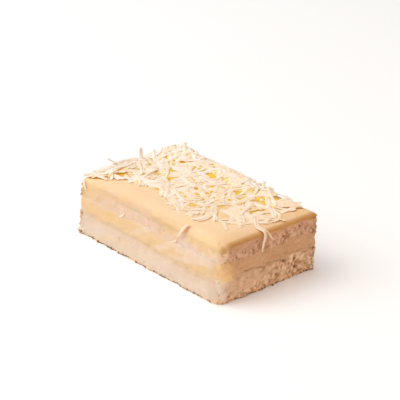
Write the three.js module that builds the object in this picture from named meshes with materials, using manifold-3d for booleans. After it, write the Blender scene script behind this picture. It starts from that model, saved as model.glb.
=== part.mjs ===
// A cut block of yema cake: two layers of chiffon sponge with yema custard between them,
// a slumped yema icing over the top, and a loose heap of grated cheese.
// Millimetres, +Z up. The origin is the middle of the flat base, and +X runs along the long side.
import * as THREE from "three";
import { ImprovedNoise } from "three/addons/math/ImprovedNoise.js";
import { mergeVertices } from "three/addons/utils/BufferGeometryUtils.js";
import Module from "manifold-3d";

const wasm = await Module();
wasm.setup();

// Driving dimensions of the block
const CAKE_LENGTH = 163;
const CAKE_WIDTH = 104;
const CORNER_RADIUS = 3.5;
const SIDE_LEAN = 1.8; // how much the cut faces lean in between the base and the top
const LOWER_SPONGE_TOP = 21.2;
const FILLING_TOP = 32.6;
const UPPER_SPONGE_TOP = 45.6;
const ICING_TOP = 50;

// Relief of the cut faces
const COLUMNS = 132; // points round the block
const FACE_SWELL = 0.9; // slow bulges of the whole face
const FACE_SWELL_SIZE = 34;
const CRUMB_DEPTH = 1.7; // crags of the torn crumb
const CRUMB_SIZE = 6.5;
const CRUMB_BLEND = 1.6; // height over which crumb fades into custard
const CUSTARD_RELIEF = 0.25; // share of the crumb relief that the smooth custard keeps
const BASE_UNDERCUT = 1.1;
const BASE_UNDERCUT_HEIGHT = 2.4;

// Waves of the boundaries between the layers
const BOUNDARY_WAVE = 1.5;
const BOUNDARY_WAVE_SIZE = 30;
const ICING_EDGE_RUN = 1.3; // extra icing that ran down the near long face
const ICING_END_THIN = 1.8; // the icing is thinner along the right-hand end
const ICING_BLEND_START = 0.8; // share of the half size from which those two set in
const CORNER_RUN = 2.6; // a run of icing at the near right-hand corner
const CORNER_RUN_WIDTH = 9;

// Rounded edge of the icing
const ICING_OVERHANG = 0.7;
const ICING_EDGE_RADIUS = 3.4;
const ICING_EDGE_STEPS = 3;
const ICING_EDGE_ROOM = 0.8; // share of the icing's height that its rounded edge may take
const ICING_EDGE_SAG = 0.5; // the icing's rim lies this much under its middle
const ICING_FLAT_INSET = 11; // from here inwards the icing is flat

// Heap of grated cheese
const HEAP_CENTRE = new THREE.Vector2(-2, 8);
const HEAP_LENGTH = 152;
const HEAP_WIDTH = 83;
const HEAP_SQUARENESS = 5; // 2 is an ellipse, more is squarer
const HEAP_EDGE_WAVE = 0.1;
const HEAP_EDGE_WAVES = 3; // size of the waves, more is finer
const CORE_SHARE = 0.88; // size of the core in the heap's plan
const CORE_SPOKES = 40;
const CORE_RINGS = [1, 0.85, 0.5];
const CORE_EDGE_HEIGHT = 0.4;
const CORE_HEIGHT = 1.7;

// Shreds of cheese, as a coarse grater cuts them
const SHRED_COUNT = 126;
const SHRED_TRIES = 8; // headings tried before a place is passed over
const SHRED_LENGTH = [13, 32];
const SHRED_WIDTH = [2.2, 4];
const SHRED_THICKNESS = [0.9, 1.3];
const SHRED_STEPS = 3;
const SHRED_TAPER = 0.6; // share of the width lost at a shred's tips
const SHRED_CURL = [0.3, 1.4]; // radians of bend along a shred
const SHRED_LIFT = [-0.3, 2.4]; // rise of the tips over the middle
const SHRED_LIFT_START = 0.3; // share of the half length from which the tips rise
const SHRED_ROLL = 0.35; // radians that a shred lies over on its side, at most
const SHRED_STIFFNESS = 0.55; // 0 drapes over what lies beneath, 1 stays straight
const SHRED_FEEL = [-0.12, 0, 0.12]; // shares of the length at which a shred feels what lies beneath
const SHRED_SINK = 0.6; // how far a shred presses into what it lies on
const SHRED_REACH = 2; // how far a tip may stand out over the cake's edge
const SPREAD = [0.7548776662, 0.5698402909]; // steps of an even sequence of places that never repeats
const GROUND_CELL = 1.5; // cell of the grid that keeps the heap's height
const SEED = 20240;

// Shreds that hang over an edge: where along it, how far in they start, how far they hang and swing
const HANGING_SHREDS = [
  { overEnd: true, at: -8, start: 20, hang: 17, swing: -2, width: 2.6 },
  { overEnd: true, at: -6, start: 19, hang: 11, swing: 8, width: 1.8 },
  { overEnd: false, at: 33, start: 24, hang: 12, swing: -3, width: 2.4 },
];
const HANGING_BENDS = 4;
const HANGING_THICKNESS = 1;
const HANGING_CLEARANCE = 1.7; // from the plan outline to the middle of the hanging part

// Rows of each layer's side, as shares of its height
const LOWER_SPONGE_ROWS = [0, 0.08, 0.26, 0.44, 0.62, 0.81, 1];
const FILLING_ROWS = [0, 0.34, 0.67, 1];
const UPPER_SPONGE_ROWS = [0, 0.25, 0.5, 0.75, 1];

const MERGE_DISTANCE = 1e-4;

const noise = new ImprovedNoise();
const { lerp, smoothstep, clamp } = THREE.MathUtils;
const between = (range, share) => lerp(range[0], range[1], share);

// Repeatable random numbers from 0 to 1.
function randomFrom(seed) {
  let state = seed;
  return () => {
    state = (state + 0x6d2b79f5) | 0;
    let mixed = Math.imul(state ^ (state >>> 15), 1 | state);
    mixed = (mixed + Math.imul(mixed ^ (mixed >>> 7), 61 | mixed)) ^ mixed;
    return ((mixed ^ (mixed >>> 14)) >>> 0) / 4294967296;
  };
}

// Plan outline of the block, counter-clockwise, with its outward normals.
function planOutline() {
  const endX = CAKE_LENGTH / 2 - CORNER_RADIUS;
  const endY = CAKE_WIDTH / 2 - CORNER_RADIUS;
  const quarter = Math.PI / 2;
  const shape = new THREE.Shape();
  shape.moveTo(CAKE_LENGTH / 2, -endY);
  shape.lineTo(CAKE_LENGTH / 2, endY);
  shape.absarc(endX, endY, CORNER_RADIUS, 0, quarter);
  shape.absarc(-endX, endY, CORNER_RADIUS, quarter, 2 * quarter);
  shape.absarc(-endX, -endY, CORNER_RADIUS, 2 * quarter, 3 * quarter);
  shape.absarc(endX, -endY, CORNER_RADIUS, 3 * quarter, 4 * quarter);
  const points = shape.getSpacedPoints(COLUMNS).slice(0, COLUMNS);
  return points.map((point, i) => {
    const before = points[(i + COLUMNS - 1) % COLUMNS];
    const after = points[(i + 1) % COLUMNS];
    const normal = new THREE.Vector2(after.y - before.y, before.x - after.x).normalize();
    return { x: point.x, y: point.y, normal };
  });
}

const outline = planOutline();

// Heights of the boundaries between the layers, over a point of the plan.
const wave = (x, y, shift) =>
  BOUNDARY_WAVE * noise.noise(x / BOUNDARY_WAVE_SIZE, y / BOUNDARY_WAVE_SIZE, shift);
const baseAt = () => 0;
const fillingBottomAt = (x, y) => LOWER_SPONGE_TOP + wave(x, y, 3.3);
const fillingTopAt = (x, y) => FILLING_TOP + wave(x, y, 7.7);

function icingBottomAt(x, y) {
  const nearFace = smoothstep((-2 * y) / CAKE_WIDTH, ICING_BLEND_START, 1);
  const rightEnd = smoothstep((2 * x) / CAKE_LENGTH, ICING_BLEND_START, 1);
  const fromCorner = Math.hypot(x - CAKE_LENGTH / 2, y + CAKE_WIDTH / 2) / CORNER_RUN_WIDTH;
  const run = CORNER_RUN * Math.exp(-fromCorner * fromCorner);
  const level = UPPER_SPONGE_TOP - ICING_EDGE_RUN * nearFace + ICING_END_THIN * rightEnd;
  return level - run + wave(x, y, 12.1) / 2;
}

// 1 in the sponge, 0 in the custard, blended across each boundary.
function spongeShare(x, y, z) {
  const blend = (height) => smoothstep(z, height - CRUMB_BLEND, height + CRUMB_BLEND);
  const inFilling = blend(fillingBottomAt(x, y)) - blend(fillingTopAt(x, y));
  return 1 - inFilling - blend(icingBottomAt(x, y));
}

// A point of the cut face in a column of the outline, at a height.
function facePoint({ x, y, normal }, z) {
  const swell = FACE_SWELL * noise.noise(x / FACE_SWELL_SIZE, y / FACE_SWELL_SIZE, z / FACE_SWELL_SIZE);
  const crumb = CRUMB_DEPTH * noise.noise(x / CRUMB_SIZE, y / CRUMB_SIZE, z / CRUMB_SIZE + 5.2);
  const relief = lerp(CUSTARD_RELIEF, 1, spongeShare(x, y, z));
  const undercut = BASE_UNDERCUT * (1 - smoothstep(z, 0, BASE_UNDERCUT_HEIGHT));
  const offset = swell + crumb * relief - undercut - (SIDE_LEAN * z) / ICING_TOP;
  return new THREE.Vector3(x + normal.x * offset, y + normal.y * offset, z);
}

function faceRing(lowAt, highAt, share) {
  return outline.map((column) => {
    const z = lerp(lowAt(column.x, column.y), highAt(column.x, column.y), share);
    return facePoint(column, z);
  });
}

const movedIn = (point, inset, z) =>
  new THREE.Vector3(point.x * (1 - (2 * inset) / CAKE_LENGTH), point.y * (1 - (2 * inset) / CAKE_WIDTH), z);

// A closed surface over a stack of rings of equal count, shut by a fan of triangles at each end.
function stackGeometry(rings, lowCentre, highCentre) {
  const count = rings[0].length;
  const low = rings.length * count;
  const high = low + 1;
  const lastRing = (rings.length - 1) * count;
  const index = [];
  for (let i = 0; i < count; i++) {
    const next = (i + 1) % count;
    index.push(low, next, i);
    index.push(high, lastRing + i, lastRing + next);
    for (let ring = 0; ring < lastRing; ring += count) {
      index.push(ring + i, ring + next, ring + count + next);
      index.push(ring + i, ring + count + next, ring + count + i);
    }
  }
  const geometry = new THREE.BufferGeometry().setFromPoints([...rings.flat(), lowCentre, highCentre]);
  geometry.setIndex(index);
  return geometry;
}

// A layer whose side is the cut face, between two boundaries. The rows are shares of its height.
function layerGeometry(lowAt, highAt, rows) {
  const rings = rows.map((share) => faceRing(lowAt, highAt, share));
  return stackGeometry(rings, new THREE.Vector3(0, 0, lowAt(0, 0)), new THREE.Vector3(0, 0, highAt(0, 0)));
}

// The icing: a lip over the sponge, a rounded edge, a sagging rim and a flat middle.
function icingGeometry() {
  const top = ICING_TOP - ICING_EDGE_SAG;
  const footRing = faceRing(icingBottomAt, icingBottomAt, 0);
  const rings = [footRing];
  for (let step = 0; step <= ICING_EDGE_STEPS; step++) {
    const angle = (step / ICING_EDGE_STEPS) * (Math.PI / 2);
    rings.push(
      footRing.map((foot) => {
        const radius = Math.min(ICING_EDGE_RADIUS, ICING_EDGE_ROOM * (top - foot.z));
        const inset = radius * (1 - Math.cos(angle)) - ICING_OVERHANG;
        return movedIn(foot, inset, top - radius * (1 - Math.sin(angle)));
      }),
    );
  }
  rings.push(footRing.map((foot) => movedIn(foot, ICING_FLAT_INSET, ICING_TOP)));
  return stackGeometry(
    rings,
    new THREE.Vector3(0, 0, icingBottomAt(0, 0)),
    new THREE.Vector3(0, 0, ICING_TOP),
  );
}

// Half-size of the heap from its centre in a direction, with a wavy edge.
function heapReach(angle) {
  const [cos, sin] = [Math.cos(angle), Math.sin(angle)];
  const alongX = Math.abs((2 * cos) / HEAP_LENGTH) ** HEAP_SQUARENESS;
  const alongY = Math.abs((2 * sin) / HEAP_WIDTH) ** HEAP_SQUARENESS;
  const edge = 1 + HEAP_EDGE_WAVE * noise.noise(HEAP_EDGE_WAVES * cos, HEAP_EDGE_WAVES * sin, 1.7);
  return edge * (alongX + alongY) ** (-1 / HEAP_SQUARENESS);
}

// 0 in the middle of the heap's plan, 1 on its edge.
function heapShare(x, y) {
  const [dx, dy] = [x - HEAP_CENTRE.x, y - HEAP_CENTRE.y];
  return Math.hypot(dx, dy) / heapReach(Math.atan2(dy, dx));
}

// Height of the core over the icing, at a share of the way from its middle to its edge.
function coreHeightAt(share) {
  return share > 1 ? 0 : lerp(CORE_HEIGHT, CORE_EDGE_HEIGHT, share ** 3);
}

// The core: a low mound that lies flat on the icing.
function coreGeometry() {
  const ring = (share, height) =>
    Array.from({ length: CORE_SPOKES }, (_, spoke) => {
      const angle = (spoke / CORE_SPOKES) * 2 * Math.PI;
      const reach = share * CORE_SHARE * heapReach(angle);
      const x = HEAP_CENTRE.x + reach * Math.cos(angle);
      const y = HEAP_CENTRE.y + reach * Math.sin(angle);
      return new THREE.Vector3(x, y, ICING_TOP + height);
    });
  const rings = CORE_RINGS.map((share) => ring(share, coreHeightAt(share)));
  const centre = (height) => new THREE.Vector3(HEAP_CENTRE.x, HEAP_CENTRE.y, ICING_TOP + height);
  return stackGeometry([ring(1, 0), ...rings], centre(0), centre(CORE_HEIGHT));
}

// Height of the heap so far over the icing, kept on a square grid.
class HeapGround {
  constructor() {
    this.heights = new Map();
  }
  key(x, y) {
    return `${Math.round(x / GROUND_CELL)},${Math.round(y / GROUND_CELL)}`;
  }
  heightAt(x, y) {
    return this.heights.get(this.key(x, y)) ?? coreHeightAt(heapShare(x, y) / CORE_SHARE);
  }
  raise(x, y, height) {
    this.heights.set(this.key(x, y), Math.max(height, this.heightAt(x, y)));
  }
}

// Middle line of a shred in plan: an arc about its own middle, with its heading at each place.
function shredArc({ x, y, heading, length, curl }) {
  const radius = length / curl;
  return (along) => {
    const [forward, aside] = [radius * Math.sin(curl * along), radius * (1 - Math.cos(curl * along))];
    return {
      x: x + forward * Math.cos(heading) - aside * Math.sin(heading),
      y: y + forward * Math.sin(heading) + aside * Math.cos(heading),
      heading: heading + curl * along,
    };
  };
}

// True where both tips of a shred stay over the cake, or nearly.
function staysOn(arc) {
  return [arc(-0.5), arc(0.5)].every(({ x, y }) => {
    const inLength = Math.abs(x) < CAKE_LENGTH / 2 + SHRED_REACH;
    return inLength && Math.abs(y) < CAKE_WIDTH / 2 + SHRED_REACH;
  });
}

// The next shred: its place is spread evenly over the heap, the rest is drawn at random.
function drawShred(number, random) {
  const x = HEAP_CENTRE.x + HEAP_LENGTH * (((number * SPREAD[0]) % 1) - 0.5);
  const y = HEAP_CENTRE.y + HEAP_WIDTH * (((number * SPREAD[1]) % 1) - 0.5);
  if (heapShare(x, y) > 1) return null;
  for (let attempt = 0; attempt < SHRED_TRIES; attempt++) {
    const shred = {
      x,
      y,
      heading: random() * Math.PI,
      length: between(SHRED_LENGTH, random()),
      width: between(SHRED_WIDTH, random()),
      thickness: between(SHRED_THICKNESS, random()),
      curl: between(SHRED_CURL, random()) * (random() < 0.5 ? -1 : 1),
      lift: between(SHRED_LIFT, random()),
      roll: SHRED_ROLL * (2 * random() - 1),
    };
    if (staysOn(shredArc(shred))) return shred;
  }
  return null;
}

// Lays a shred on the heap so far: a strip with narrow tips that bends over what lies beneath it.
function laidShred(shred, ground) {
  const { length, width, thickness, lift, roll } = shred;
  const arc = shredArc(shred);
  const stations = Array.from({ length: SHRED_STEPS + 1 }, (_, i) => i / SHRED_STEPS - 0.5);
  const beneath = stations.map((along) => {
    const places = SHRED_FEEL.map((step) => arc(along + step));
    return Math.max(...places.map(({ x, y }) => ground.heightAt(x, y)));
  });
  const highest = Math.max(...beneath);
  const propped = (width / 6) * Math.abs(Math.sin(roll)) - SHRED_SINK;
  const rests = stations.map((along, i) => {
    const tip = Math.max(0, Math.abs(2 * along) - SHRED_LIFT_START);
    return lerp(beneath[i], highest, SHRED_STIFFNESS) + propped + lift * tip;
  });
  const restAt = (along) => rests[Math.round((along + 0.5) * SHRED_STEPS)];

  const geometry = new THREE.BoxGeometry(length, width, thickness, SHRED_STEPS, 1, 1);
  const position = geometry.getAttribute("position");
  for (let i = 0; i < position.count; i++) {
    const along = position.getX(i) / length;
    const side = position.getY(i) * (1 - SHRED_TAPER * (2 * along) ** 2);
    const up = position.getZ(i);
    const across = side * Math.cos(roll) - up * Math.sin(roll);
    const rise = restAt(along) + thickness / 2 + side * Math.sin(roll) + up * Math.cos(roll);
    const lowest = up < 0 ? 0 : thickness / 2;
    const { x, y, heading } = arc(along);
    const z = ICING_TOP + Math.max(rise, lowest);
    position.setXYZ(i, x - across * Math.sin(heading), y + across * Math.cos(heading), z);
  }
  for (let along = -0.5; along <= 0.5; along += GROUND_CELL / (2 * length)) {
    const { x, y, heading } = arc(along);
    for (const across of [-width / 3, 0, width / 3]) {
      const [toX, toY] = [-across * Math.sin(heading), across * Math.cos(heading)];
      ground.raise(x + toX, y + toY, restAt(along) + thickness);
    }
  }
  return geometry;
}

// A shred that lies on the icing, turns over its rounded edge and hangs down the cut face.
function hangingShred({ overEnd, at, start, hang, swing, width }) {
  const turn = HANGING_CLEARANCE + ICING_EDGE_RADIUS; // radius of the bend over the edge
  const edge = (overEnd ? CAKE_LENGTH : CAKE_WIDTH) / 2 - ICING_EDGE_RADIUS;
  const bend = (turn * Math.PI) / 2;
  const bends = Array.from({ length: HANGING_BENDS + 1 }, (_, i) => (bend * i) / HANGING_BENDS);
  const stations = [-start, ...bends, bend + hang / 2, bend + hang]; // path length, 0 where the bend starts
  const steps = stations.length - 1;
  const geometry = new THREE.BoxGeometry(1, width, HANGING_THICKNESS, steps, 1, 1);
  const position = geometry.getAttribute("position");
  for (let i = 0; i < position.count; i++) {
    const path = stations[Math.round((position.getX(i) + 0.5) * steps)];
    const angle = clamp(path / turn, 0, Math.PI / 2);
    const fallen = Math.max(0, path - bend);
    const radius = turn + position.getZ(i);
    const out = edge + Math.min(0, path) + radius * Math.sin(angle);
    const height = ICING_TOP + HANGING_THICKNESS / 2 - turn + radius * Math.cos(angle) - fallen;
    const aside = at + position.getY(i) + swing * Math.max(0, path / (bend + hang)) ** 2;
    position.setXYZ(i, overEnd ? out : aside, overEnd ? aside : -out, height);
  }
  return geometry;
}

// A closed solid from a geometry, with its shared vertices merged.
function solidOf(geometry) {
  const bare = new THREE.BufferGeometry().setAttribute("position", geometry.getAttribute("position"));
  bare.setIndex(geometry.index);
  const merged = mergeVertices(bare, MERGE_DISTANCE);
  return new wasm.Manifold(
    new wasm.Mesh({
      numProp: 3,
      vertProperties: merged.getAttribute("position").array,
      triVerts: new Uint32Array(merged.index.array),
    }),
  );
}

function geometryOf(solid) {
  const { vertProperties, triVerts } = solid.getMesh();
  const geometry = new THREE.BufferGeometry();
  geometry.setAttribute("position", new THREE.BufferAttribute(vertProperties, 3));
  geometry.setIndex(new THREE.BufferAttribute(triVerts, 1));
  geometry.computeVertexNormals();
  return geometry;
}

// The heap: its core with the shreds fused on. A shred that touches nothing is dropped.
function cheeseGeometry() {
  const random = randomFrom(SEED);
  const ground = new HeapGround();
  let heap = solidOf(coreGeometry());
  for (const shred of HANGING_SHREDS) heap = heap.add(solidOf(hangingShred(shred)));
  for (let number = 1, laid = 0; laid < SHRED_COUNT; number++) {
    const shred = drawShred(number, random);
    if (!shred) continue;
    heap = heap.add(solidOf(laidShred(shred, ground)));
    laid++;
  }
  const bodies = heap.decompose().sort((a, b) => b.volume() - a.volume());
  return geometryOf(bodies[0]);
}

function subPart(name, geometry, color, roughness) {
  geometry.computeVertexNormals();
  const mesh = new THREE.Mesh(geometry, new THREE.MeshStandardMaterial({ color, roughness, metalness: 0 }));
  mesh.name = name;
  return mesh;
}

const lowerSponge = layerGeometry(baseAt, fillingBottomAt, LOWER_SPONGE_ROWS);
const filling = layerGeometry(fillingBottomAt, fillingTopAt, FILLING_ROWS);
const upperSponge = layerGeometry(fillingTopAt, icingBottomAt, UPPER_SPONGE_ROWS);

const cake = new THREE.Group();
cake.add(
  subPart("lower_sponge", lowerSponge, 0xf0d7b4, 0.9),
  subPart("yema_filling", filling, 0xf2c884, 0.5),
  subPart("upper_sponge", upperSponge, 0xf0d2ac, 0.9),
  subPart("yema_icing", icingGeometry(), 0xf6cd86, 0.4),
  subPart("grated_cheese", cheeseGeometry(), 0xfbe9cc, 0.55),
);

export default cake;
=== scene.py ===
# A cut block of yema cake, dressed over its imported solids. Metres, +Z up, base on z = 0.
import math

import bpy
import numpy as np
from mathutils import Matrix, Vector, noise


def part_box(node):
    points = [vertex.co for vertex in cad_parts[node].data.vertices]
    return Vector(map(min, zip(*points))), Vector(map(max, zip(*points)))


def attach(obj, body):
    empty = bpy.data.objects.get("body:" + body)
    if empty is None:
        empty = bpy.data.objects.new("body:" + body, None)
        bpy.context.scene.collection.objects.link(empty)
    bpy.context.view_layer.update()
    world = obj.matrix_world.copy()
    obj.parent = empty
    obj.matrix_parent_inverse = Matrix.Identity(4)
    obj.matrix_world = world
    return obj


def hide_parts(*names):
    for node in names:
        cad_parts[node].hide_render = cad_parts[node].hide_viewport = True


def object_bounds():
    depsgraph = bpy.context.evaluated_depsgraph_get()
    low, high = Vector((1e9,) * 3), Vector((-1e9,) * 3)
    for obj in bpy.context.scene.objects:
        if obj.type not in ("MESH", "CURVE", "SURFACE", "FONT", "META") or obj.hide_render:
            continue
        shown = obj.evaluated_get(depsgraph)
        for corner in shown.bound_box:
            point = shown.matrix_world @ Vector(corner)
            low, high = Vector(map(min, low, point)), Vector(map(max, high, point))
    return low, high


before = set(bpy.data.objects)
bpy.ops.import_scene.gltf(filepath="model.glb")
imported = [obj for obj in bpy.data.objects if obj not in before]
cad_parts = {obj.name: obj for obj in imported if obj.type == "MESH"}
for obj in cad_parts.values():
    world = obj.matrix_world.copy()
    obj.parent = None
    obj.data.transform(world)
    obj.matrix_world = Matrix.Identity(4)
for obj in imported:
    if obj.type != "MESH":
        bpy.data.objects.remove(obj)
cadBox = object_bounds()

mm = 0.001
blockLow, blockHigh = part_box("lower_sponge")  # the block's plan, from its lowest layer
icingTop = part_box("yema_icing")[1].z
block = {
    "spread": (1.014, 1.024, 1),    # torn crumb and custard stand a little proud of the plain cut
    "cornerReach": 12 * mm,
    # the upright corners, as signs of x and y: how far each stands out, or is rounded off
    "corners": ((-1, -1, 0.7 * mm), (1, 1, 1.3 * mm), (-1, 1, 0.6 * mm), (1, -1, -1.8 * mm)),
}
print("frame loaded:", ", ".join(sorted(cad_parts)))


# Handling objects
def activate(piece):
    if bpy.context.mode != "OBJECT":
        bpy.ops.object.mode_set(mode="OBJECT")
    bpy.ops.object.select_all(action="DESELECT")
    piece.select_set(True)
    bpy.context.view_layer.objects.active = piece


def editMode(piece, selectMode="VERT"):
    activate(piece)
    bpy.ops.object.mode_set(mode="EDIT")
    bpy.ops.mesh.select_mode(type=selectMode)


def objectMode():
    bpy.ops.object.mode_set(mode="OBJECT")


def selectOnly(piece, vertices=(), edges=(), faces=()):
    # called in object mode, so that edit mode opens on this selection
    mesh = piece.data
    for elements in (mesh.vertices, mesh.edges, mesh.polygons):
        elements.foreach_set("select", np.zeros(len(elements), dtype=bool))
    for elements, chosen in ((mesh.vertices, vertices), (mesh.edges, edges), (mesh.polygons, faces)):
        for index in chosen:
            elements[index].select = True


def points(piece):
    flat = np.empty(len(piece.data.vertices) * 3, dtype=np.float32)
    piece.data.vertices.foreach_get("co", flat)
    return flat.reshape(-1, 3)


def setPoints(piece, places):
    piece.data.vertices.foreach_set("co", np.asarray(places, dtype=np.float32).ravel())
    piece.data.update()


def paint(piece, name, values):
    attribute = piece.data.attributes.new(name, "FLOAT", "POINT")
    attribute.data.foreach_set("value", np.asarray(values, dtype=np.float32))


def finishPiece(piece, material, nodeName=None):
    piece.data.materials.clear()
    piece.data.materials.append(material)
    activate(piece)
    bpy.ops.object.shade_smooth()
    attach(piece, "root")
    if nodeName:
        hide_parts(nodeName)
    print(f"{piece.name}: {sum(len(face.vertices) - 2 for face in piece.data.polygons)} triangles")


# Layers start as a merged copy of their solid, so that they keep its form
def copyOfNode(nodeName, pieceName):
    piece = bpy.data.objects.new(pieceName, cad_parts[nodeName].data.copy())
    piece.data.name = pieceName
    bpy.context.collection.objects.link(piece)
    editMode(piece)
    bpy.ops.mesh.select_all(action="SELECT")
    bpy.ops.mesh.remove_doubles(threshold=0.01 * mm)
    wide = math.radians(70)
    bpy.ops.mesh.tris_convert_to_quads(face_threshold=wide, shape_threshold=wide)
    bpy.ops.transform.resize(value=block["spread"], center_override=(0, 0, 0))
    objectMode()
    bpy.ops.mesh.customdata_custom_splitnormals_clear()
    shapeCorners(piece)
    return piece


def shapeCorners(piece):
    places = points(piece)
    for signX, signY, shift in block["corners"]:
        away = np.hypot(places[:, 0] - signX * blockHigh.x, places[:, 1] - signY * blockHigh.y)
        weight = 1 - smoothStep(0, block["cornerReach"], away)
        places[:, :2] += np.outer(weight, (signX, signY)) * shift
    setPoints(piece, places)


def capOf(piece, upper):
    # the fan of faces that closes a layer above or below: its middle, its faces and its rim's edges
    mesh = piece.data
    middles = [v.index for v in mesh.vertices if v.co.xy.length < mm]
    pick = max if upper else min
    middle = pick(middles, key=lambda index: mesh.vertices[index].co.z)
    faces = [face.index for face in mesh.polygons if middle in face.vertices]
    rimKeys = {key for index in faces for key in mesh.polygons[index].edge_keys if middle not in key}
    rimEdges = [edge.index for edge in mesh.edges if edge.key in rimKeys]
    rim = sorted({index for key in rimKeys for index in key})
    return {"middle": middle, "faces": faces, "rimEdges": rimEdges, "rim": rim}


def creaseRims(piece):
    edges = capOf(piece, True)["rimEdges"] + capOf(piece, False)["rimEdges"]
    selectOnly(piece, edges=edges)
    editMode(piece, "EDGE")
    bpy.ops.transform.edge_crease(value=1)
    objectMode()


def growCap(piece, upper, rise, inset):
    # carries a layer on past its rim, and in under the layer beside it
    selectOnly(piece, faces=capOf(piece, upper)["faces"])
    editMode(piece, "FACE")
    bpy.ops.mesh.extrude_region()
    bpy.ops.transform.translate(value=(0, 0, rise))
    bpy.ops.transform.resize(value=(1 - inset / blockHigh.x, 1 - inset / blockHigh.y, 1), center_override=(0, 0, 0))
    objectMode()


def weigh(piece, name, weightAt):
    group = piece.vertex_groups.new(name=name)
    for vertex in piece.data.vertices:
        group.add([vertex.index], weightAt(vertex.co), "REPLACE")


def weighIndices(piece, name, indices):
    piece.vertex_groups.new(name=name).add(list(indices), 1, "REPLACE")


def subdivideSmooth(piece, levels):
    modifier = piece.modifiers.new("smooth", "SUBSURF")
    modifier.levels = modifier.render_levels = levels
    activate(piece)
    bpy.ops.object.modifier_apply(modifier=modifier.name)


def roughen(piece, kind, size, depth, group="", middle=0.5, rampEnd=None, direction="NORMAL"):
    # moves the surface by a texture of lumps of a size, or by pits where the texture has a ramp
    texture = bpy.data.textures.new("relief", kind)
    texture.noise_scale = size
    if kind == "CLOUDS":
        texture.noise_depth = 1
        texture.noise_basis = "IMPROVED_PERLIN"
    if rampEnd:
        texture.use_color_ramp = True
        ramp = texture.color_ramp.elements
        ramp[0].color, ramp[0].position = (0, 0, 0, 1), 0
        ramp[1].color, ramp[1].position = (1, 1, 1, 1), rampEnd
    modifier = piece.modifiers.new("relief", "DISPLACE")
    modifier.texture = texture
    modifier.texture_coords = "LOCAL"
    modifier.direction = direction
    modifier.strength = depth
    modifier.mid_level = middle
    modifier.vertex_group = group
    activate(piece)
    bpy.ops.object.modifier_apply(modifier=modifier.name)
    bpy.data.textures.remove(texture)


def smoothStep(low, high, value):
    share = np.clip((value - low) / (high - low), 0, 1)
    return share * share * (3 - 2 * share)


# Shader building
def addNode(tree, kind, inputs=None, **settings):
    node = tree.nodes.new(kind)
    for name, value in settings.items():
        setattr(node, name, value)
    for name, value in (inputs or {}).items():
        if isinstance(value, bpy.types.NodeSocket):
            tree.links.new(value, node.inputs[name])
        else:
            node.inputs[name].default_value = value
    return node


def mixColours(tree, share, first, second, blend="MIX"):
    node = addNode(tree, "ShaderNodeMix", data_type="RGBA", blend_type=blend)
    for index, value in ((0, share), (6, first), (7, second)):  # factor, A and B of a colour mix
        if isinstance(value, bpy.types.NodeSocket):
            tree.links.new(value, node.inputs[index])
        else:
            node.inputs[index].default_value = value
    return node.outputs[2]


def calculate(tree, operation, first, second=0.0, clamp=False):
    node = addNode(tree, "ShaderNodeMath", operation=operation, use_clamp=clamp)
    for index, value in ((0, first), (1, second)):
        if isinstance(value, bpy.types.NodeSocket):
            tree.links.new(value, node.inputs[index])
        else:
            node.inputs[index].default_value = value
    return node.outputs[0]


def ranged(tree, value, low, high, toLow=0.0, toHigh=1.0):
    node = addNode(tree, "ShaderNodeMapRange", {"Value": value, "From Min": low, "From Max": high,
                                                "To Min": toLow, "To Max": toHigh})
    node.interpolation_type = "SMOOTHSTEP"
    return node.outputs["Result"]


def newGroup(name, inputs, outputs):
    tree = bpy.data.node_groups.new(name, "ShaderNodeTree")
    for socket, kind, value in inputs:
        made = tree.interface.new_socket(name=socket, in_out="INPUT", socket_type=kind)
        if value is not None:
            made.default_value = value
    for socket, kind in outputs:
        tree.interface.new_socket(name=socket, in_out="OUTPUT", socket_type=kind)
    start = tree.nodes.new("NodeGroupInput")
    end = tree.nodes.new("NodeGroupOutput")
    return tree, start.outputs, end.inputs


def useGroup(tree, group, inputs):
    node = tree.nodes.new("ShaderNodeGroup")
    node.node_tree = group
    for name, value in inputs.items():
        if isinstance(value, bpy.types.NodeSocket):
            tree.links.new(value, node.inputs[name])
        else:
            node.inputs[name].default_value = value
    return node.outputs


def newMaterial(name, settings):
    # a Principled material whose even values sit on the shader's own sockets
    material = bpy.data.materials.new(name)
    material.use_nodes = True
    tree = material.node_tree
    shader = tree.nodes["Principled BSDF"]
    for socket, value in settings.items():
        shader.inputs[socket].default_value = value
    place = tree.nodes.new("ShaderNodeTexCoord").outputs["Object"]
    return material, tree, shader, place


# Cloudy change of tone, broad and fine, that every part of the cake shows
def makeToneGroup():
    tree, start, end = newGroup(
        "bakedTone",
        [("Vector", "NodeSocketVector", None), ("Patch Scale", "NodeSocketFloat", 60.0),
         ("Grain Scale", "NodeSocketFloat", 600.0)],
        [("Patches", "NodeSocketFloat"), ("Grain", "NodeSocketFloat")],
    )
    patches = addNode(tree, "ShaderNodeTexNoise", {"Vector": start["Vector"], "Scale": start["Patch Scale"],
                                                   "Detail": 3.0, "Roughness": 0.55})
    grain = addNode(tree, "ShaderNodeTexNoise", {"Vector": start["Vector"], "Scale": start["Grain Scale"],
                                                 "Detail": 2.0, "Roughness": 0.6})
    tree.links.new(ranged(tree, patches.outputs["Fac"], 0.3, 0.7), end["Patches"])
    tree.links.new(ranged(tree, grain.outputs["Fac"], 0.3, 0.7), end["Grain"])
    return tree


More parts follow.
